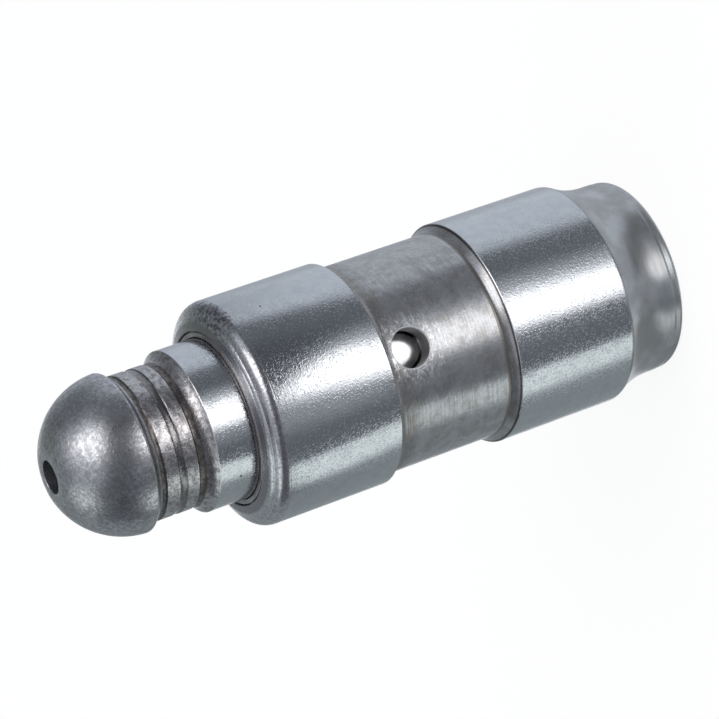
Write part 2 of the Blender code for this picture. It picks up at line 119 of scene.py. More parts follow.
def relief(tree, shader, layers):
    # layers of (height, depth in millimetres) laid over each other
    normal = None
    for height, depth in layers:
        bump = addNode(tree, "ShaderNodeBump", {"Strength": 1.0, "Distance": depth * mm, "Height": height})
        if normal:
            tree.links.new(normal, bump.inputs["Normal"])
        normal = bump.outputs[0]
    tree.links.new(normal, shader.inputs["Normal"])


def between(tree, value, low, high, softLow, softHigh):  # 1 from low to high, with soft ends
    return maths(tree, "MULTIPLY", remap(tree, value, low - softLow, low + softLow, 0.0, 1.0),
                 remap(tree, value, high - softHigh, high + softHigh, 1.0, 0.0))


def away(tree, place, point):  # how far it is to a point given in millimetres
    return addNode(tree, "ShaderNodeVectorMath", {0: place, 1: [c * mm for c in point]},
                   operation="DISTANCE").outputs["Value"]


def specks(tree, place, spots):
    # 1 inside small round pits at (x, y, z, radius) in millimetres
    found = 0.0
    for *point, radius in spots:
        near = remap(tree, away(tree, place, point), 0.6 * radius * mm, radius * mm, 1.0, 0.0)
        found = maths(tree, "MAXIMUM", found, near)
    return found


def radiusAt(tree, place):
    flat = addNode(tree, "ShaderNodeVectorMath", {0: place, 1: (1.0, 1.0, 0.0)}, operation="MULTIPLY")
    return addNode(tree, "ShaderNodeVectorMath", {0: flat.outputs[0]}, operation="LENGTH").outputs["Value"]


def heightAt(tree, place):
    return addNode(tree, "ShaderNodeSeparateXYZ", {0: place}).outputs[2]


def rings(tree, place, size, stretch):
    # noise that changes across the turned outline but only slowly round it, so it runs in rings
    across = addNode(tree, "ShaderNodeCombineXYZ", {0: radiusAt(tree, place), 2: heightAt(tree, place)})
    spot = addNode(tree, "ShaderNodeVectorMath", {0: place, 1: (1.0 / stretch,) * 3, 2: across.outputs[0]},
                   operation="MULTIPLY_ADD")
    return grain(tree, spot.outputs[0], size)


def dents(tree, place, size):
    # small separate marks between smooth stretches: each throws a glint of another light
    return remap(tree, grain(tree, place, size, detail=2.0, rough=0.55), 0.50, 0.74, 0.0, 1.0)


# Centreless-ground hardened steel on the lands and the stem: bright and nearly a mirror, with fine
# dents that break the edges of every reflection into sparkling grains and duller frosted specks. The
# grains are drawn twice as coarse as real ones, so that they can be seen.
groundLook = {"pale": "#c6c8cb", "dark": "#bdc0c4", "fleck": "#54504c", "roughness": 0.10,
              "blotchSize": 0.6, "frost": 0.20, "frostSize": 0.10, "dentSize": 0.11, "dentDepth": 0.0038,
              "gritSize": 0.10, "gritDepth": 0.0022, "lineSize": 0.05, "lineStretch": 30.0,
              "lineDepth": 0.0004}


def groundSteel(name, spots):
    metal, tree, shader, place = newMetal(name)
    look = groundLook
    blotch = grain(tree, place, look["blotchSize"], detail=4.0, rough=0.65)
    frost = grain(tree, place, look["frostSize"], detail=2.0, rough=0.6)
    frost = remap(tree, frost, 0.50, 0.66, 0.0, look["frost"])
    lines = rings(tree, place, look["lineSize"], look["lineStretch"])  # grinding lines
    colour = tint(tree, remap(tree, blotch, 0.35, 0.7, 0.0, 1.0), look["pale"], look["dark"])
    colour = tint(tree, specks(tree, place, spots), colour, look["fleck"])
    tree.links.new(colour, shader.inputs["Base Color"])
    rough = remap(tree, blotch, 0.3, 0.7, look["roughness"] - 0.03, look["roughness"] + 0.05)
    tree.links.new(maths(tree, "ADD", rough, frost), shader.inputs["Roughness"])
    relief(tree, shader, [(dents(tree, place, look["dentSize"]), look["dentDepth"]),
                          (grain(tree, place, look["gritSize"]), look["gritDepth"]),
                          (lines, look["lineDepth"])])
    return metal


# Lathe-turned steel in the oil groove, browned by heat treatment: duller than the lands, finely
# mottled, with faint rings where a light falls on it and bright rub marks where the hole was deburred.
turnedLook = {"pale": "#b6b7ba", "dark": "#a8a7a8", "brown": "#87827d", "scale": "#4a4543",
              "rubbed": "#d9dbde", "metallic": 0.78, "roughness": 0.17, "brownRoughness": 0.14,
              "ringSize": 0.07, "ringStretch": 40.0, "ringDepth": 0.0036, "gritSize": 0.12,
              "gritDepth": 0.0050, "stainSize": 0.7, "mottleSize": 0.16, "brownFrom": 16.0,
              "brownTo": 17.35, "foot": (11.02, 11.20), "edge": (10.60, 10.68),
              "hole": (0.0, -5.6, 16.19), "rubFrom": 1.1, "rubReach": 2.6, "scratchSize": 0.20,
              "scratchDepth": 0.004}


def turnedSteel():
    look = turnedLook
    metal, tree, shader, place = newMetal("turned and heat-treated steel", look["metallic"])
    height = heightAt(tree, place)
    marks = rings(tree, place, look["ringSize"], look["ringStretch"])
    grit = grain(tree, place, look["gritSize"], detail=3.0, rough=0.6)
    stain = grain(tree, place, look["stainSize"], detail=4.0, rough=0.7)
    colour = tint(tree, remap(tree, stain, 0.40, 0.62, 0.0, 1.0), look["pale"], look["dark"])
    # brown grows towards the front land, and lies in a thin line at the foot of the rear flank
    browned = remap(tree, height, look["brownFrom"] * mm, look["brownTo"] * mm, 0.0, 0.6)
    browned = maths(tree, "ADD", browned, remap(tree, stain, 0.35, 0.70, -0.10, 0.16))
    browned = maths(tree, "MAXIMUM", browned, 0.0)
    foot = between(tree, height, look["foot"][0] * mm, look["foot"][1] * mm, 0.04 * mm, 0.05 * mm)
    browned = maths(tree, "MAXIMUM", browned, foot)
    colour = tint(tree, browned, colour, look["brown"])
    colour = tint(tree, remap(tree, marks, 0.42, 0.60, 0.0, 0.10), colour, look["scale"])
    mottle = grain(tree, place, look["mottleSize"], detail=5.0, rough=0.75)
    colour = tint(tree, remap(tree, mottle, 0.40, 0.62, 0.0, 0.16), colour, look["scale"])
    fromHole = away(tree, place, look["hole"])
    beside = remap(tree, fromHole, look["rubFrom"] * mm, look["rubReach"] * mm, 0.85, 0.0)
    scratches = grain(tree, place, look["scratchSize"], stretch=(1.8, 1.8, 1.0), detail=4.0,
                      rough=0.65, warp=0.9)
    rubbed = maths(tree, "MULTIPLY", beside, remap(tree, scratches, 0.50, 0.60, 0.0, 1.0))
    colour = tint(tree, rubbed, colour, look["rubbed"])
    # a painted dark line of shade along the rear land's edge, at the top of the flank, in the colour of the
    # scale
    scale = between(tree, height, look["edge"][0] * mm, look["edge"][1] * mm, 0.01 * mm, 0.03 * mm)
    tree.links.new(tint(tree, scale, colour, look["scale"]), shader.inputs["Base Color"])
    rough = remap(tree, marks, 0.3, 0.7, look["roughness"] - 0.04, look["roughness"] + 0.08)
    rough = maths(tree, "MULTIPLY_ADD", browned, look["brownRoughness"], rough)
    tree.links.new(rough, shader.inputs["Roughness"])
    relief(tree, shader, [(grit, look["gritDepth"]), (marks, look["ringDepth"]),
                          (rubbed, look["scratchDepth"])])
    return metal


# The same steel on the tail, vibratory-finished after turning: matte, clouded grey, with faint rings.
tailLook = {"pale": "#b3b6b9", "dark": "#9e9e9f", "metallic": 0.72, "roughness": 0.21, "stainSize": 2.2,
            "ringSize": 0.16, "ringStretch": 25.0, "ringDepth": 0.0020, "gritSize": 0.13,
            "gritDepth": 0.0030}


def tailSteel():
    look = tailLook
    metal, tree, shader, place = newMetal("matte vibratory-finished steel", look["metallic"])
    grit = grain(tree, place, look["gritSize"], detail=3.0, rough=0.6)
    marks = rings(tree, place, look["ringSize"], look["ringStretch"])
    stain = grain(tree, place, look["stainSize"], detail=3.0, rough=0.55)
    colour = tint(tree, remap(tree, stain, 0.38, 0.60, 0.0, 1.0), look["pale"], look["dark"])
    tree.links.new(colour, shader.inputs["Base Color"])
    tree.links.new(remap(tree, marks, 0.3, 0.7, look["roughness"] - 0.03, look["roughness"] + 0.05),
                   shader.inputs["Roughness"])
    relief(tree, shader, [(grit, look["gritDepth"]), (marks, look["ringDepth"])])
    return metal


# Spun-over steel of the lip: the roller leaves fine rings, bright and mottled on the bead, with dark
# dirt on one side and a duller band next to the mouth.
lipLook = {"pale": "#c6c7cb", "dark": "#98959a", "brown": "#8a878b", "bandFrom": 5.07, "bandTo": 5.15,
           "bandRoughness": 0.10, "dirt": "#66666e", "dirtPlace": (4.94, -2.63, 24.75),
           "dirtReach": (1.2, 2.9), "metallic": 0.92, "roughness": 0.17, "mottleSize": 0.20,
           "ringSize": 0.07, "ringStretch": 60.0, "ringDepth": 0.0012, "dentSize": 0.13,
           "dentDepth": 0.0040}


def rolledSteel():
    look = lipLook
    metal, tree, shader, place = newMetal("spun-over steel", look["metallic"])
    marks = rings(tree, place, look["ringSize"], look["ringStretch"])
    mottle = grain(tree, place, look["mottleSize"], detail=4.0, rough=0.65)
    colour = tint(tree, remap(tree, marks, 0.35, 0.65, 0.0, 0.4), look["pale"], look["dark"])
    colour = tint(tree, remap(tree, mottle, 0.45, 0.65, 0.0, 0.8), colour, look["dark"])
    near, far = look["dirtReach"]
    dirt = remap(tree, away(tree, place, look["dirtPlace"]), near * mm, far * mm, 1.0, 0.0)
    dirt = maths(tree, "MULTIPLY", dirt, remap(tree, mottle, 0.42, 0.60, 0.05, 0.85))
    colour = tint(tree, dirt, colour, look["dirt"])
    band = remap(tree, radiusAt(tree, place), look["bandFrom"] * mm, look["bandTo"] * mm, 0.85, 0.0)
    colour = tint(tree, band, colour, look["brown"])  # the band next to the mouth
    tree.links.new(colour, shader.inputs["Base Color"])
    rough = remap(tree, mottle, 0.3, 0.7, look["roughness"] - 0.04, look["roughness"] + 0.08)
    rough = maths(tree, "MULTIPLY_ADD", band, look["bandRoughness"], rough)
    tree.links.new(rough, shader.inputs["Roughness"])
    relief(tree, shader, [(dents(tree, place, look["dentSize"]), look["dentDepth"]),
                          (marks, look["ringDepth"])])
    return metal


# Tumbled steel of the ball head: satin, finely pitted, mottled light and dark, with brown blotches.
ballLook = {"pale": "#c6c7ca", "dark": "#97979c", "brown": "#8b8482", "pit": "#4b4745",
            "metallic": 0.94, "roughness": 0.29, "stainSize": 0.20, "blotchSize": 1.6, "pitSize": 0.09,
            "dentSize": 0.12, "dentDepth": 0.0035, "gritSize": 0.09, "gritDepth": 0.0065}


def tumbledSteel():
    look = ballLook
    metal, tree, shader, place = newMetal("tumbled steel", look["metallic"])
    stain = grain(tree, place, look["stainSize"], detail=5.0, rough=0.75)
    blotch = grain(tree, place, look["blotchSize"], detail=4.0, rough=0.6, warp=0.5)
    pits = grain(tree, place, look["pitSize"], detail=1.0)
    colour = tint(tree, remap(tree, stain, 0.35, 0.65, 0.0, 1.0), look["pale"], look["dark"])
    colour = tint(tree, remap(tree, blotch, 0.50, 0.66, 0.0, 0.4), colour, look["brown"])
    colour = tint(tree, remap(tree, pits, 0.68, 0.78, 0.0, 0.8), colour, look["pit"])
    tree.links.new(colour, shader.inputs["Base Color"])
    tree.links.new(remap(tree, stain, 0.3, 0.7, look["roughness"] - 0.05, look["roughness"] + 0.07),
                   shader.inputs["Roughness"])
    relief(tree, shader, [(dents(tree, place, look["dentSize"]), look["dentDepth"]),
                          (grain(tree, place, look["gritSize"]), look["gritDepth"])])
    return metal


# The neck: the same tumbled steel on its bands, brown scale left in the hollows that the media don't
# reach, and glossy cut steel in the lock groove, its tone darker than the bands as painted shade in the
# groove. Each is (pale, dark, roughness, metallic).
neckLooks = {"tumbled steel on the neck": ("#bcbabb", "#8c888a", 0.24, 0.92),
             "brown scale on steel": ("#7c7674", "#534e4c", 0.33, 0.80),
             "cut steel of the lock groove darkened as painted shade": ("#8d8a8a", "#757171", 0.15, 1.0)}
neckRelief = {"stainSize": 0.22, "stainStretch": (1.5, 1.5, 1.0), "dentSize": 0.12, "dentDepth": 0.0045,
              "gritSize": 0.09, "gritDepth": 0.0060}


def neckSteel(name):
    pale, dark, roughness, metallic = neckLooks[name]
    look = neckRelief
    metal, tree, shader, place = newMetal(name, metallic)
    stain = grain(tree, place, look["stainSize"], stretch=look["stainStretch"], detail=4.0, rough=0.7)
    colour = tint(tree, remap(tree, stain, 0.40, 0.62, 0.0, 1.0), pale, dark)
    tree.links.new(colour, shader.inputs["Base Color"])
    tree.links.new(remap(tree, stain, 0.3, 0.7, roughness - 0.05, roughness + 0.08),
                   shader.inputs["Roughness"])
    relief(tree, shader, [(dents(tree, place, look["dentSize"]), look["dentDepth"]),
                          (grain(tree, place, look["gritSize"]), look["gritDepth"])])
    return metal


# Plainer finishes: (pale, dark, roughness, grain size, stretch of the grain, its depth, metallic).
innerLooks = {
    # the bore: grey with fine honing rings
    "honed bore steel": ("#b9babb", "#a4a5a6", 0.24, 0.06, (30.0, 30.0, 1.0), 0.0008, 1.0),
    # sliding plungers: bright, with faint rings
    "lapped steel": ("#c3c4c6", "#b2b3b5", 0.16, 0.05, (20.0, 20.0, 1.0), 0.0005, 1.0),
    # the cage: warm grey strip with a soft grain
    "pressed strip steel": ("#b1afac", "#97948f", 0.30, 0.30, (1.0, 1.0, 1.0), 0.0015, 1.0),
    # the feed hole's wall: dull, with rings left by the drill
    "drilled steel": ("#b4afad", "#8f8a88", 0.32, 0.09, (9.0, 1.0, 9.0), 0.0060, 0.45),
    # the feed hole's rim: a thin line of bright deburred steel, whitened and made mostly diffuse as a painted
    # highlight
    "deburred steel whitened as a painted highlight": ("#f4f4f6", "#e2e3e6", 0.30, 0.08, (1.0, 1.0, 1.0), 0.0015, 0.30),
    # both springs: dark oil-tempered skin
    "drawn spring wire": ("#8f8c89", "#77736f", 0.33, 0.12, (1.0, 1.0, 1.0), 0.0015, 1.0),
    # the check ball: mirror bright
    "polished bearing steel": ("#d0d1d3", "#c6c7c9", 0.07, 0.20, (1.0, 1.0, 1.0), 0.0002, 1.0),
    # the retaining ring: grey, with faint rings
    "ring spring steel": ("#aba6a6", "#8f8988", 0.22, 0.07, (15.0, 15.0, 1.0), 0.0010, 0.80)}
stainSize = 0.9


def innerSteel(name):
    pale, dark, roughness, size, stretch, depth, metallic = innerLooks[name]
    metal, tree, shader, place = newMetal(name, metallic)
    marks = grain(tree, place, size, stretch=stretch, detail=2.0)
    stain = grain(tree, place, stainSize, detail=2.0)
    colour = tint(tree, remap(tree, stain, 0.3, 0.7, 0.0, 1.0), pale, dark)
    tree.links.new(colour, shader.inputs["Base Color"])
    tree.links.new(remap(tree, marks, 0.3, 0.7, roughness - 0.03, roughness + 0.04),
                   shader.inputs["Roughness"])
    relief(tree, shader, [(marks, depth)])
    return metal


# The dark specks that show in the photo, as (x, y, z, radius).
landSpots = [(4.50, -3.97, 22.48, 0.07), (-0.11, -6.00, 24.08, 0.05)]
stemSpots = [(-3.16, -2.90, 26.13, 0.08)]
landMetal = groundSteel("centreless-ground steel", landSpots)
stemMetal = groundSteel("ground stem steel", stemSpots)
grooveMetal = turnedSteel()
tailMetal = tailSteel()
lipMetal = rolledSteel()
ballMetal = tumbledSteel()
bandMetal = neckSteel("tumbled steel on the neck")
hollowMetal = neckSteel("brown scale on steel")
lockShadedMetal = neckSteel("cut steel of the lock groove darkened as painted shade")
boreMetal = innerSteel("honed bore steel")
drilledMetal = innerSteel("drilled steel")
rimHighlightMetal = innerSteel("deburred steel whitened as a painted highlight")
lappedMetal = innerSteel("lapped steel")
pressedMetal = innerSteel("pressed strip steel")
wireMetal = innerSteel("drawn spring wire")
bearingMetal = innerSteel("polished bearing steel")
ringMetal = innerSteel("ring spring steel")
print("materials made")


# Turned pieces. Each outline is a list of (radius, height, finish), where finish is the number of the
# material on the strip that starts there. One Geometry Nodes tree turns them all.

finishCount = 7
mergeDistance = 1e-7
smoothBelow = math.radians(30.0)


def makeTurningTree():
    tree = bpy.data.node_groups.new("turn an outline about Z", "GeometryNodeTree")
    tree.interface.new_socket("Outline", in_out="INPUT", socket_type="NodeSocketGeometry")
    tree.interface.new_socket("Steps", in_out="INPUT", socket_type="NodeSocketInt")
    tree.interface.new_socket("Sharp Angle", in_out="INPUT", socket_type="NodeSocketFloat")
    tree.interface.new_socket("Cut", in_out="INPUT", socket_type="NodeSocketBool")
    tree.interface.new_socket("Cutter", in_out="INPUT", socket_type="NodeSocketObject")
    for i in range(finishCount):
        tree.interface.new_socket(f"Finish {i}", in_out="INPUT", socket_type="NodeSocketMaterial")
    tree.interface.new_socket("Piece", in_out="OUTPUT", socket_type="NodeSocketGeometry")
    given = addNode(tree, "NodeGroupInput").outputs
    rows = addNode(tree, "GeometryNodeAttributeDomainSize", {0: given["Outline"]}).outputs[0]
    columns = maths(tree, "ADD", given["Steps"], 1.0)
    grid = addNode(tree, "GeometryNodeMeshGrid", {"Vertices X": rows, "Vertices Y": columns}).outputs[0]
    index = addNode(tree, "GeometryNodeInputIndex").outputs[0]
    row = maths(tree, "FLOOR", maths(tree, "DIVIDE", maths(tree, "ADD", index, 0.5), columns))
    column = maths(tree, "SUBTRACT", index, maths(tree, "MULTIPLY", row, columns))
    here = addNode(tree, "GeometryNodeInputPosition").outputs[0]
    point = addNode(tree, "GeometryNodeSampleIndex", {0: given["Outline"], 1: here, 2: row},
                    data_type="FLOAT_VECTOR", domain="POINT").outputs[0]
    point = addNode(tree, "ShaderNodeSeparateXYZ", {0: point}).outputs
    angle = maths(tree, "DIVIDE", maths(tree, "MULTIPLY", column, fullTurn), given["Steps"])
    place = addNode(tree, "ShaderNodeCombineXYZ",
                    {0: maths(tree, "MULTIPLY", point[0], maths(tree, "COSINE", angle)),
                     1: maths(tree, "MULTIPLY", point[0], maths(tree, "SINE", angle)), 2: point[2]})
    turned = addNode(tree, "GeometryNodeSetPosition", {0: grid, "Position": place.outputs[0]}).outputs[0]
    turned = addNode(tree, "GeometryNodeFlipFaces", {0: turned}).outputs[0]
    # a face of the grid takes the finish of the outline point that starts its strip
    strip = maths(tree, "FLOOR", maths(tree, "DIVIDE", maths(tree, "ADD", index, 0.5), given["Steps"]))
    finish = addNode(tree, "GeometryNodeInputNamedAttribute", {0: "finish"}, data_type="INT").outputs[0]
    finish = addNode(tree, "GeometryNodeSampleIndex", {0: given["Outline"], 1: finish, 2: strip},
                     data_type="INT", domain="POINT").outputs[0]
    turned = addNode(tree, "GeometryNodeRealizeInstances", {0: turned}).outputs[0]
    for i in range(finishCount):
        chosen = addNode(tree, "FunctionNodeCompare", {2: finish, 3: i}, data_type="INT", operation="EQUAL")
        turned = addNode(tree, "GeometryNodeSetMaterial",
                         {0: turned, "Selection": chosen.outputs[0],
                          "Material": given[f"Finish {i}"]}).outputs[0]
    turned = addNode(tree, "GeometryNodeMergeByDistance",
                     {0: turned, "Distance": mergeDistance}).outputs[0]
    cutter = addNode(tree, "GeometryNodeObjectInfo", {0: given["Cutter"]}).outputs["Geometry"]
    cut = addNode(tree, "GeometryNodeMeshBoolean", {0: turned, 1: cutter}, operation="DIFFERENCE",
                  solver="EXACT").outputs[0]
    piece = addNode(tree, "GeometryNodeSwitch", {0: given["Cut"], 1: turned, 2: cut},
                    input_type="GEOMETRY").outputs[0]
    bend = addNode(tree, "GeometryNodeInputMeshEdgeAngle").outputs[0]
    sharp = addNode(tree, "FunctionNodeCompare", {0: bend, 1: given["Sharp Angle"]}, operation="GREATER_THAN")
    piece = addNode(tree, "GeometryNodeSetShadeSmooth", {0: piece, 2: True}, domain="FACE").outputs[0]
    piece = addNode(tree, "GeometryNodeSetShadeSmooth", {0: piece, 1: sharp.outputs[0], 2: False},
                    domain="EDGE").outputs[0]
    addNode(tree, "NodeGroupOutput", {0: piece})
    return tree


turningTree = makeTurningTree()


def runTree(name, base, tree, values):
    # gives the tree's result as a plain mesh at the origin, and removes the helper
    helper = bpy.data.objects.new(name + " helper", base)
    bpy.context.scene.collection.objects.link(helper)
    modifier = helper.modifiers.new("nodes", "NODES")
    modifier.node_group = tree
    for socket in tree.interface.items_tree:
        if socket.in_out == "INPUT" and socket.name in values:
            modifier[socket.identifier] = values[socket.name]
    bpy.context.view_layer.update()
    graph = bpy.context.evaluated_depsgraph_get()
    mesh = bpy.data.meshes.new_from_object(helper.evaluated_get(graph), depsgraph=graph)
    mesh.name = name
    bpy.data.objects.remove(helper)
    piece = bpy.data.objects.new(name, mesh)
    bpy.context.scene.collection.objects.link(piece)
    return piece


def turnPiece(name, outline, metals, steps, cutter=None):
    base = bpy.data.meshes.new(name + " outline")
    base.from_pydata([(r * mm, 0.0, z * mm) for r, z, _ in outline],
                     [(i, i + 1) for i in range(len(outline) - 1)], [])
    base.attributes.new("finish", "INT", "POINT").data.foreach_set("value", [f for _, _, f in outline])
    values = {"Steps": steps, "Sharp Angle": smoothBelow, "Cut": cutter is not None, "Cutter": cutter}
    values.update({f"Finish {i}": metals[min(i, len(metals) - 1)] for i in range(finishCount)})
    piece = runTree(name, base, turningTree, values)
    if cutter:
        bpy.data.objects.remove(cutter)
    return piece


def withFinish(points, finish):
    return [(r, z, finish) for r, z in points]


# The housing. Finishes: 0 lands, 1 oil groove, 2 tail and shoulder, 3 lip, 4 bore.
housing = {"landRadius": 6.00, "tailRadius": 5.25, "tailRounding": 0.27, "tailStep": 0.025,
           "stepFrom": 0.50, "stepTo": 0.62, "tailLength": 1.12, "shoulderLength": 2.71,
           "crestRadius": 0.35, "rearLandStart": 3.83, "grooveStart": 10.61, "grooveEnd": 17.77,
           "grooveRadius": 5.60, "rearFillet": 0.20, "flankFrom": math.radians(31.0),
           "flankTo": math.radians(50.0), "frontFlank": 0.18, "grooveFillet": 0.26,
           "edgeBreak": 0.035, "creaseHeight": 24.21, "creaseWidth": 0.03,
           "beadCentre": (5.33, 24.17), "beadRadius": 0.66, "beadEnd": math.radians(62.0),
           "mouthBead": 0.06,
           # past the bead come a second, lower ring and the flatter brown band down to the mouth
           "valley": (5.47, 24.829), "ringCentre": (5.024, 24.494), "ringRadius": 0.53,
           "ringFrom": math.radians(43.0), "ringTo": math.radians(75.0), "band": (4.745, 25.09),
           "mouthRadius": 4.65, "mouthHeight": 25.18, "rolledEdge": 0.25, "seatRadius": 4.96,
           "seatBase": 24.42, "boreRadius": 4.54, "floor": 2.40, "floorCorner": 0.35,
           "holeRadius": 1.04, "holeHeight": 16.19, "holeRounding": 0.09, "steps": 288}


def smoothed(points, cut=0.04):
    # each inner corner gives way to two points beside it, so that the shading turns only there
    result = [points[0]]
    for before, here, after in zip(points, points[1:], points[2:]):
        for other in (before, after):
            gap = math.hypot(other[0] - here[0], other[1] - here[1])
            share = min(cut / gap, 0.3)
            result.append(tuple(here[i] + share * (other[i] - here[i]) for i in (0, 1)))
    return result + [points[-1]]


def housingOutline():
    h = housing
    land, tail, groove = h["landRadius"], h["tailRadius"], h["grooveRadius"]
    edge = h["edgeBreak"]
    points = [(0.0, 0.0, 2), (0.5 * tail, 0.0, 2)]
    end, turn = tail - h["tailStep"], h["tailRounding"]
    points += withFinish(arc(end - turn, turn, turn, -quarter, 0.0, 8)[:-1], 2)
    points += withFinish(smoothed([(end, turn), (end, h["stepFrom"]), (tail, h["stepTo"]),
                                   (tail, h["tailLength"])], 0.02)[:-1], 2)
    rise = land - tail
    sweep = 2.0 * math.atan2(rise, h["shoulderLength"])
    both = h["shoulderLength"] / math.sin(sweep)
    foot = both - h["crestRadius"]
    points += withFinish(arc(tail + foot, h["tailLength"], foot, math.pi, math.pi - sweep, 16), 2)
    crest = arc(land - h["crestRadius"], h["rearLandStart"], h["crestRadius"], -sweep, 0.0, 8)
    points += withFinish(crest[1:-1], 2) + [(land, h["rearLandStart"], 0)]
    points += [(land, h["grooveStart"] - edge, 0), (land - edge, h["grooveStart"], 1)]
    # the flank leaves the groove in a small fillet and hollows out towards the land
    small, near, far = h["rearFillet"], h["flankFrom"], h["flankTo"]
    wide = (land - edge - groove - small * (1.0 - math.cos(near))) / (math.cos(near) - math.cos(far))
    foot = h["grooveStart"] + wide * (math.sin(far) - math.sin(near)) + small * math.sin(near)
    fillet = arc(groove + small, foot, -small, 0.0, near, 6)
    flank = arc(fillet[-1][0] + wide * math.cos(near), fillet[-1][1] + wide * math.sin(near), -wide,
                near, far, 8)
    points += withFinish((fillet + flank[1:-1])[::-1], 1)
    points += withFinish(flare(groove, h["grooveEnd"] - h["frontFlank"] - h["grooveFillet"], land - edge,
                               h["frontFlank"] + h["grooveFillet"], 1.0, 10)[:-1], 1)
    points += [(land - edge, h["grooveEnd"], 0), (land, h["grooveEnd"] + edge, 0)]
    # the ground land meets the rolled lip at a faint corner
    points += [(land, h["creaseHeight"] - h["creaseWidth"], 3)]
    centre, round = h["beadCentre"], h["beadRadius"]
    bead = arc(*centre, round, math.asin((h["creaseHeight"] - centre[1]) / round), h["beadEnd"], 20)
    ridge = arc(*h["ringCentre"], h["ringRadius"], h["ringFrom"], h["ringTo"], 10)
    burr, last = h["mouthBead"], h["band"]
    points += withFinish(bead + smoothed([bead[-1], h["valley"], ridge[0]], 0.03)[1:] + ridge[1:], 3)
    points += withFinish(arc(h["mouthRadius"] + burr, last[1], burr, 0.15 * math.pi, math.pi, 6), 3)
    under = h["mouthHeight"] - h["rolledEdge"]
    points += [(h["mouthRadius"], under, 4), (h["seatRadius"], under, 4), (h["seatRadius"], h["seatBase"], 4),
               (h["boreRadius"], h["seatBase"], 4)]
    points += withFinish(arc(h["boreRadius"] - h["floorCorner"], h["floor"] + h["floorCorner"],
                             h["floorCorner"], 0.0, -quarter, 6), 4)
    return points + [(0.0, h["floor"], 4)]


def feedDrill():
    # the drill lies along Y, with the far end in open air; its edge rounding follows the groove
    h = housing
    groove, hole, turn = h["grooveRadius"], h["holeRadius"], h["holeRounding"]
    wall = math.sqrt(h["boreRadius"] ** 2 - hole ** 2)
    rim = arc(hole + turn, groove - turn, turn, math.pi, 0.58 * math.pi, 6)
    far = h["landRadius"] + 0.2
    outline = [(0.0, wall - 0.2, 1), (hole, wall - 0.2, 1), (hole, groove - 2.0 * turn, 1)]
    outline += withFinish(rim, 0) + [(rim[-1][0] + 0.5, far, 0), (0.0, far, 0)]
    drill = turnPiece("feed hole drill", outline, [rimHighlightMetal, drilledMetal], 96)
    for corner in drill.data.vertices:
        if corner.co.z > (groove - 1.5 * turn) * mm:
            corner.co.z += math.sqrt((groove * mm) ** 2 - corner.co.x ** 2) - groove * mm
    lift = Matrix.Translation((0.0, 0.0, h["holeHeight"] * mm))
    drill.data.transform(lift @ Matrix.Rotation(quarter, 4, "X"))
    return drill


body = turnPiece("housingBody", housingOutline(),
                 [landMetal, grooveMetal, tailMetal, lipMetal, boreMetal], housing["steps"], feedDrill())
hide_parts("housing")
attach(body, "housing")
print("housing turned and drilled:", len(body.data.polygons), "faces")


# The ball plunger. Finishes: 0 ball, 1 neck bands, 2 neck hollows, 3 stem, 4 inside, 5 guide,
# 6 lock groove.
plunger = {"base": 12.72, "guideRadius": 4.50, "chamfer": 0.20, "oilBase": 14.90, "oilTop": 20.48,
           "oilDepth": 0.15, "oilRamp": 0.25, "guideTop": 24.42, "stemRadius": 4.29, "stemEdge": 0.03,
           "stemEnd": 27.28, "flareLength": 0.84, "neckLength": 3.30, "neckRadius": 3.84,
           "valleyDepth": 0.06, "bandRamp": 0.09, "lockSetback": 1.56, "lockWidth": 0.45,
           "lockDepth": 0.05, "lockHollow": 0.02, "ballRadius": 4.22, "rimAngle": math.radians(3.0),
           "rimRounding": 0.22, "tipFrom": math.radians(66.0), "tipTo": math.radians(86.0),
           "tipRadius": 1.40, "tipRise": 0.01,
           "filletRadius": 0.57, "holeRadius": 0.88, "holeEdge": 0.05, "reservoirRadius": 2.70,
           "reservoirRoof": 6.00, "drillPoint": math.radians(59.0), "crossRadius": 0.60,
           "crossSetback": 0.95, "steps": 256}


def ballFlank(p, valley, ballHeight):
    # a fillet that leaves the neck and runs into the rounding of the ball's rim
    inwards = p["ballRadius"] - p["rimRounding"]
    rimCentre = inwards * math.cos(p["rimAngle"])
    rimHeight = ballHeight + inwards * math.sin(p["rimAngle"])
    across = valley + p["filletRadius"] - rimCentre
    down = math.sqrt((p["filletRadius"] + p["rimRounding"]) ** 2 - across ** 2)
    lean = math.atan2(down, across)
    fillet = arc(valley + p["filletRadius"], rimHeight - down, p["filletRadius"], math.pi,
                 math.pi - lean, 12)
    rim = arc(rimCentre, rimHeight, p["rimRounding"], -lean, p["rimAngle"], 10)
    return fillet, rim[1:-1]


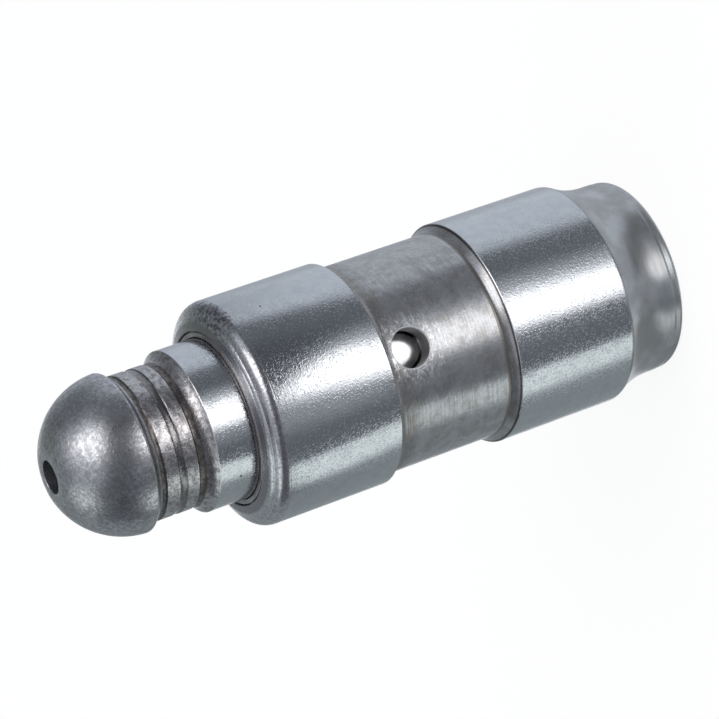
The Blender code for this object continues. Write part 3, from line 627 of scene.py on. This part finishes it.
def plungerOutline():
    p = plunger
    guide, stem, neck = p["guideRadius"], p["stemRadius"], p["neckRadius"]
    valley = neck - p["valleyDepth"]
    floor = guide - p["oilDepth"]
    ballHeight = p["stemEnd"] + p["neckLength"]
    points = [(guide - p["chamfer"], p["base"], 5), (guide, p["base"] + p["chamfer"], 5),
              (guide, p["oilBase"], 5), (floor, p["oilBase"] + p["oilRamp"], 5),
              (floor, p["oilTop"] - p["oilRamp"], 5), (guide, p["oilTop"], 5),
              (guide, p["guideTop"], 5), (stem, p["guideTop"], 3),
              (stem, p["stemEnd"] - p["stemEdge"], 3)]
    stemFlare = flare(valley, p["stemEnd"] + p["flareLength"], stem - p["stemEdge"], p["flareLength"],
                      -1.0, 12)[::-1]
    points += withFinish(stemFlare[:8], 1) + withFinish(stemFlare[8:], 2)
    # the lock groove has steep sides and a slightly hollow floor
    half, hollow = 0.5 * p["lockWidth"] - p["lockDepth"], p["lockHollow"]
    lockRound = (half ** 2 + hollow ** 2) / (2.0 * hollow)
    lockSweep = math.atan2(half, lockRound - hollow)
    middle = p["stemEnd"] + p["lockSetback"] + 0.5 * p["lockWidth"]
    lock = [(neck, middle - 0.5 * p["lockWidth"])]
    lock += arc(neck - p["lockDepth"] + lockRound - hollow, middle, lockRound, math.pi + lockSweep,
                math.pi - lockSweep, 10)
    lock += [(neck, middle + 0.5 * p["lockWidth"])]
    fillet, rim = ballFlank(p, valley, ballHeight)
    points += [(neck, p["stemEnd"] + p["flareLength"] + p["bandRamp"], 1)] + withFinish(lock[:-1], 6)
    points += [(*lock[-1], 1), (neck, fillet[0][1] - p["bandRamp"], 2)]
    points += withFinish(fillet[:4], 2) + withFinish(fillet[4:] + rim, 0)
    # the ball is a little flattened round its oil hole
    ball = arc(0.0, ballHeight, p["ballRadius"], p["rimAngle"], p["tipFrom"], 56)
    inwards = p["ballRadius"] - p["tipRadius"]
    tip = arc(inwards * math.cos(p["tipFrom"]), ballHeight + inwards * math.sin(p["tipFrom"]),
              p["tipRadius"], p["tipFrom"], p["tipTo"], 12)
    ball += tip[1:] + [(p["holeRadius"] + p["holeEdge"], tip[-1][1] + p["tipRise"])]
    roof = ballHeight + p["ballRadius"] - p["reservoirRoof"]
    cone = (p["reservoirRadius"] - p["holeRadius"]) / math.tan(p["drillPoint"])
    # the edge of the oil hole is rounded over
    edge = arc(p["holeRadius"] + p["holeEdge"], ball[-1][1] - p["holeEdge"], p["holeEdge"], quarter,
               math.pi, 6)
    points += withFinish(ball + edge[1:], 0)
    points += [(p["holeRadius"], roof + cone, 4), (p["reservoirRadius"], roof, 4),
               (p["reservoirRadius"], p["base"], 4)]
    return points + [points[0]]


def crossDrill():
    p = plunger
    height = p["oilTop"] - p["oilRamp"] - p["crossSetback"]
    start, end = 0.5 * p["reservoirRadius"], p["guideRadius"] + 0.2
    outline = [(0.0, start, 0), (p["crossRadius"], start, 0), (p["crossRadius"], end, 0), (0.0, end, 0)]
    drill = turnPiece("cross hole drill", outline, [boreMetal], 64)
    lift = Matrix.Translation((0.0, 0.0, height * mm))
    drill.data.transform(lift @ Matrix.Rotation(-quarter, 4, "X"))
    return drill


head = turnPiece("ballPlungerBody", plungerOutline(),
                 [ballMetal, bandMetal, hollowMetal, stemMetal, boreMetal, lappedMetal, lockShadedMetal],
                 plunger["steps"], crossDrill())
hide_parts("ball_plunger")
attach(head, "ball_plunger")
print("ball plunger turned and drilled:", len(head.data.polygons), "faces")


# The retaining ring, turned whole and then sawn through at the back. Its collar shows in the mouth.
ring = {"inner": 4.32, "outer": 4.92, "base": 24.45, "thickness": 0.45, "collar": 4.59, "top": 25.12,
        "edge": 0.05, "collarRounding": 0.06, "split": 0.80, "sawPast": 0.2, "steps": 192}


def ringPiece():
    r = ring
    low, high, edge = r["base"], r["base"] + r["thickness"], r["edge"]
    outline = arc(r["inner"] + edge, low + edge, edge, math.pi, 1.5 * math.pi, 3)
    outline += arc(r["outer"] - edge, low + edge, edge, 1.5 * math.pi, fullTurn, 3)
    outline += arc(r["outer"] - edge, high - edge, edge, 0.0, quarter, 3) + [(r["collar"], high)]
    turn = r["collarRounding"]
    outline += arc(r["collar"] - turn, r["top"] - turn, turn, 0.0, quarter, 6)
    outline += arc(r["inner"] + turn, r["top"] - turn, turn, quarter, math.pi, 6)
    saw = bpy.data.meshes.new("saw")
    wide, deep = 0.5 * r["split"] * mm, (r["outer"] + 0.5) * mm
    corners = [(x, y, z) for x in (-wide, wide) for y in (0.5 * r["inner"] * mm, deep)
               for z in ((low - r["sawPast"]) * mm, (r["top"] + r["sawPast"]) * mm)]
    faces = [(0, 1, 3, 2), (4, 6, 7, 5), (0, 4, 5, 1), (2, 3, 7, 6), (0, 2, 6, 4), (1, 5, 7, 3)]
    saw.from_pydata(corners, [], faces)
    blade = bpy.data.objects.new("saw", saw)
    saw.materials.append(ringMetal)
    bpy.context.scene.collection.objects.link(blade)
    outline = withFinish(outline + [outline[0]], 0)
    return turnPiece("retainingRingBody", outline, [ringMetal], r["steps"], blade)


ringBody = ringPiece()
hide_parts("retaining_ring")
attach(ringBody, "housing")
print("retaining ring made")


# Coil springs: one Geometry Nodes tree winds a wire along its helix, with both end turns closed.

def makeCoilTree():
    tree = bpy.data.node_groups.new("wind a coil spring", "GeometryNodeTree")
    sizes = ("Radius", "Wire Radius", "Turns", "Closed Pitch", "Base", "Top")
    tree.interface.new_socket("Start", in_out="INPUT", socket_type="NodeSocketGeometry")
    for name in sizes:
        tree.interface.new_socket(name, in_out="INPUT", socket_type="NodeSocketFloat")
    tree.interface.new_socket("Steps", in_out="INPUT", socket_type="NodeSocketInt")
    tree.interface.new_socket("Wire Sides", in_out="INPUT", socket_type="NodeSocketInt")
    tree.interface.new_socket("Wire", in_out="INPUT", socket_type="NodeSocketMaterial")
    tree.interface.new_socket("Spring", in_out="OUTPUT", socket_type="NodeSocketGeometry")
    given = addNode(tree, "NodeGroupInput").outputs
    count = maths(tree, "ADD", given["Steps"], 1.0)
    line = addNode(tree, "GeometryNodeMeshLine", {"Count": count}).outputs[0]
    line = addNode(tree, "GeometryNodeMeshToCurve", {0: line}).outputs[0]
    index = addNode(tree, "GeometryNodeInputIndex").outputs[0]
    turn = maths(tree, "DIVIDE", maths(tree, "MULTIPLY", index, given["Turns"]), given["Steps"])
    openTurns = maths(tree, "SUBTRACT", given["Turns"], 2.0)
    span = maths(tree, "SUBTRACT", given["Top"], given["Base"])
    span = maths(tree, "MULTIPLY_ADD", given["Wire Radius"], -2.0, span)
    openHeight = maths(tree, "MULTIPLY_ADD", given["Closed Pitch"], -2.0, span)
    openPitch = maths(tree, "DIVIDE", openHeight, openTurns)
    ends = maths(tree, "MINIMUM", turn, 1.0)
    last = maths(tree, "SUBTRACT", maths(tree, "SUBTRACT", turn, 1.0), openTurns)
    last = maths(tree, "MAXIMUM", last, 0.0)
    ends = maths(tree, "ADD", ends, last)
    middle = maths(tree, "SUBTRACT", turn, ends)
    height = maths(tree, "ADD", given["Base"], given["Wire Radius"])
    height = maths(tree, "MULTIPLY_ADD", ends, given["Closed Pitch"], height)
    height = maths(tree, "MULTIPLY_ADD", middle, openPitch, height)
    angle = maths(tree, "MULTIPLY", turn, fullTurn)
    place = addNode(tree, "ShaderNodeCombineXYZ",
                    {0: maths(tree, "MULTIPLY", given["Radius"], maths(tree, "COSINE", angle)),
                     1: maths(tree, "MULTIPLY", given["Radius"], maths(tree, "SINE", angle)), 2: height})
    path = addNode(tree, "GeometryNodeSetPosition", {0: line, "Position": place.outputs[0]}).outputs[0]
    section = addNode(tree, "GeometryNodeCurvePrimitiveCircle",
                      {"Resolution": given["Wire Sides"], "Radius": given["Wire Radius"]}).outputs[0]
    wire = addNode(tree, "GeometryNodeCurveToMesh", {0: path, 1: section, "Fill Caps": True}).outputs[0]
    wire = addNode(tree, "GeometryNodeRealizeInstances", {0: wire}).outputs[0]
    bend = addNode(tree, "GeometryNodeInputMeshEdgeAngle").outputs[0]
    sharp = addNode(tree, "FunctionNodeCompare", {0: bend, 1: math.radians(60.0)}, operation="GREATER_THAN")
    wire = addNode(tree, "GeometryNodeSetShadeSmooth", {0: wire, 1: sharp.outputs[0], 2: False},
                   domain="EDGE").outputs[0]
    wire = addNode(tree, "GeometryNodeSetMaterial", {0: wire, "Material": given["Wire"]}).outputs[0]
    addNode(tree, "NodeGroupOutput", {0: wire})
    return tree


coilTree = makeCoilTree()
closedGap = 0.04  # between the closed end turns
springs = {
    "returnSpringWire": {"node": "return_spring", "body": "housing", "joint": "plunger_slide", "keep": 0.537,
                         "Radius": 2.75, "Wire Radius": 0.275, "Turns": 5.0, "Base": 2.43, "Top": 8.91,
                         "Steps": 320, "Wire Sides": 20},
    "checkSpringWire": {"node": "check_spring", "body": "lower_plunger", "joint": "check_ball_lift",
                        "keep": 0.773, "Radius": 0.72, "Wire Radius": 0.08, "Turns": 3.5, "Base": 6.23,
                        "Top": 7.33, "Steps": 200, "Wire Sides": 14}}
for name, s in springs.items():
    values = {k: s[k] * mm for k in ("Radius", "Wire Radius", "Base", "Top")}
    values.update({"Turns": s["Turns"], "Closed Pitch": (2.0 * s["Wire Radius"] + closedGap) * mm,
                   "Steps": s["Steps"], "Wire Sides": s["Wire Sides"], "Wire": wireMetal})
    spring = runTree(name, bpy.data.meshes.new(name + " start"), coilTree, values)
    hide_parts(s["node"])
    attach(spring, s["body"])
    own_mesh(spring)
print("springs wound")

# The other inner nodes keep their meshes and get their finish here.
innerFinishes = {"lower_plunger": lappedMetal, "ball_retainer": pressedMetal, "check_ball": bearingMetal}
for node, metal in innerFinishes.items():
    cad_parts[node].data.materials.clear()
    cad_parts[node].data.materials.append(metal)
print("inner pieces finished")


# The camera stands where the photograph was taken from, rolled so that the lifter lies across the
# picture with its ball at the lower left.
shot = {"lens": 168.03, "place": (-0.0047937, -0.1584982, 0.0875001),
        "right": (-0.342385, -0.374200, -0.861828), "up": (0.939069, -0.165854, -0.301067),
        "back": (-0.030267, -0.912392, 0.408197)}
cameraData = bpy.data.cameras.new("photo camera")
cameraData.lens = shot["lens"]
cameraData.clip_start = 0.01
camera = bpy.data.objects.new("photo camera", cameraData)
axes = [Vector(shot[k]).normalized() for k in ("right", "up", "back")]
camera.matrix_world = Matrix([(axes[0][i], axes[1][i], axes[2][i], shot["place"][i]) for i in range(3)]
                             + [(0.0, 0.0, 0.0, 1.0)])
bpy.context.scene.collection.objects.link(camera)
bpy.context.scene.camera = camera
print("camera placed")


# The studio is a fixed world around the part. A direction is told by how far it lies to the side and
# by its angle round the sideways axis: 0 is level towards the viewer, 90 overhead, -90 below. It is
# laid out for the lifter as it lies in the photograph. For a camera the world is plain white.
studio = {"side": (-0.343289, -0.374024, -0.861500), "above": (0.860729, -0.483022, -0.133800),
          "front": (-0.366037, -0.788457, 0.488300), "backdrop": (0.85, 0.88, 0.92, 1.0),
          "seam": -140.0}  # the angles run up from this one, which lies below the part
# (colour, strength, angle from, angle to, softness of each end, side from, side to, side softness)
studioParts = {
    "room": ("#dce4f0", 0.24, -160.0, 192.0, 4.0, 6.0, -2.0, 2.0, 0.1),
    "wall behind": ("#dfe6f0", 0.66, 158.0, 192.0, 12.0, 6.0, -2.0, 2.0, 0.1),
    "ceiling behind": ("#e2eaf4", 0.93, 109.0, 168.0, 7.0, 10.0, -0.35, 2.0, 0.30),
    "dim corner": ("#dfe6f0", 0.24, 112.0, 192.0, 6.0, 10.0, -2.0, -0.55, 0.30),
    "corner behind the lip": ("#d8e6e0", 0.36, 182.0, 240.0, 8.0, 2.0, -2.0, -0.55, 0.15),
    "table's far edge": ("#e0ecf0", 0.42, 214.0, 240.0, 4.0, 2.0, -0.60, 2.0, 0.15),
    "glow on the far right": ("#e6ecf4", 0.52, -30.0, 150.0, 20.0, 20.0, 0.93, 2.0, 0.04),
    "glow on the far left": ("#e6ecf4", 0.52, -45.0, 130.0, 14.0, 20.0, -2.0, -0.95, 0.08),
    "glow above the left softbox": ("#e6ecf4", 0.80, 58.0, 84.0, 8.0, 10.0, -0.98, -0.46, 0.12),
    "glow above the right softbox": ("#e6ecf4", 0.62, 58.0, 79.0, 8.0, 9.0, 0.34, 0.98, 0.12),
    "glow below the left softbox": ("#eceff6", 0.88, -30.0, 22.0, 30.0, 8.0, -0.95, -0.38, 0.14),
    "glow below the right softbox": ("#e6ecf4", 0.50, -6.0, 26.0, 14.0, 8.0, 0.40, 0.80, 0.10),
    "left softbox": ("#ffffff", 2.7, 16.0, 57.0, 9.0, 8.0, -0.90, -0.34, 0.10),
    "right softbox": ("#ffffff", 2.7, 27.0, 62.0, 12.0, 10.0, 0.42, 0.87, 0.07),
    "table": ("#e0ecf0", 0.42, -160.0, -86.0, 5.0, 6.0, -2.0, 2.0, 0.1),
    "lit table on the left": ("#ecf5f4", 1.30, -84.0, -43.0, 9.0, 3.0, -0.78, -0.42, 0.10),
    "lit table on the right": ("#ecf5f4", 1.28, -82.0, -49.0, 8.0, 1.5, 0.44, 0.92, 0.08),
    "dark middle": ("#dce4f0", 0.15, -86.0, 84.0, 6.0, 12.0, -0.27, 0.34, 0.12)}


def buildStudio():
    world = bpy.data.worlds.new("studio")
    bpy.context.scene.world = world
    world.use_nodes = True
    tree = world.node_tree
    tree.nodes.clear()
    way = addNode(tree, "ShaderNodeTexCoord").outputs["Generated"]
    side, above, front = [addNode(tree, "ShaderNodeVectorMath", {0: way, 1: studio[k]},
                                  operation="DOT_PRODUCT").outputs["Value"]
                          for k in ("side", "above", "front")]
    angle = maths(tree, "DEGREES", maths(tree, "ARCTAN2", above, front))
    angle = maths(tree, "WRAP", angle, studio["seam"] + 360.0, studio["seam"])
    colour = studio["backdrop"]
    for hexCode, strength, low, high, softLow, softHigh, near, far, softSide in studioParts.values():
        mask = maths(tree, "MULTIPLY", between(tree, angle, low, high, softLow, softHigh),
                     between(tree, side, near, far, softSide, softSide))
        light = tuple(c * strength for c in srgb(hexCode)[:3]) + (1.0,)
        colour = tint(tree, mask, colour, light)
    rays = addNode(tree, "ShaderNodeLightPath").outputs
    seen = maths(tree, "MAXIMUM", rays["Is Camera Ray"], rays["Is Transmission Ray"])
    colour = tint(tree, seen, colour, "#ffffff")
    background = addNode(tree, "ShaderNodeBackground", {0: colour, 1: 1.0})
    addNode(tree, "ShaderNodeOutputWorld", {0: background.outputs[0]})


buildStudio()


# A pale table top. The camera sees it as white with the lifter's soft shadow on it.
floorLook = {"size": 0.6, "colour": "#f2f2f0", "glow": 0.90, "shade": 0.16}


def buildFloor():
    half = 0.5 * floorLook["size"]
    mesh = bpy.data.meshes.new("table top")
    mesh.from_pydata([(-half, -half, 0.0), (half, -half, 0.0), (half, half, 0.0), (-half, half, 0.0)], [],
                     [(0, 1, 2, 3)])
    paint = bpy.data.materials.new("matt white paint")
    paint.use_nodes = True
    tree = paint.node_tree
    tree.nodes.clear()
    plain = addNode(tree, "ShaderNodeBsdfDiffuse", {0: srgb(floorLook["colour"])})
    shade = addNode(tree, "ShaderNodeBsdfDiffuse", {0: (floorLook["shade"],) * 3 + (1.0,)})
    glow = addNode(tree, "ShaderNodeEmission", {0: (1.0, 1.0, 1.0, 1.0), 1: floorLook["glow"]})
    white = addNode(tree, "ShaderNodeAddShader", {0: shade.outputs[0], 1: glow.outputs[0]})
    rays = addNode(tree, "ShaderNodeLightPath").outputs
    seen = maths(tree, "MAXIMUM", rays["Is Camera Ray"],
                 maths(tree, "MAXIMUM", rays["Is Glossy Ray"], rays["Is Transmission Ray"]))
    surface = addNode(tree, "ShaderNodeMixShader", {0: seen, 1: plain.outputs[0], 2: white.outputs[0]})
    addNode(tree, "ShaderNodeOutputMaterial", {0: surface.outputs[0]})
    mesh.materials.append(paint)
    table = bpy.data.objects.new("table top", mesh)
    bpy.context.scene.collection.objects.link(table)
    table.visible_glossy = False  # the lifter stands up here but lies down in the photograph
    table.visible_shadow = False
    return table


buildFloor()
bpy.context.scene.view_settings.view_transform = "Standard"
print("studio and floor ready")
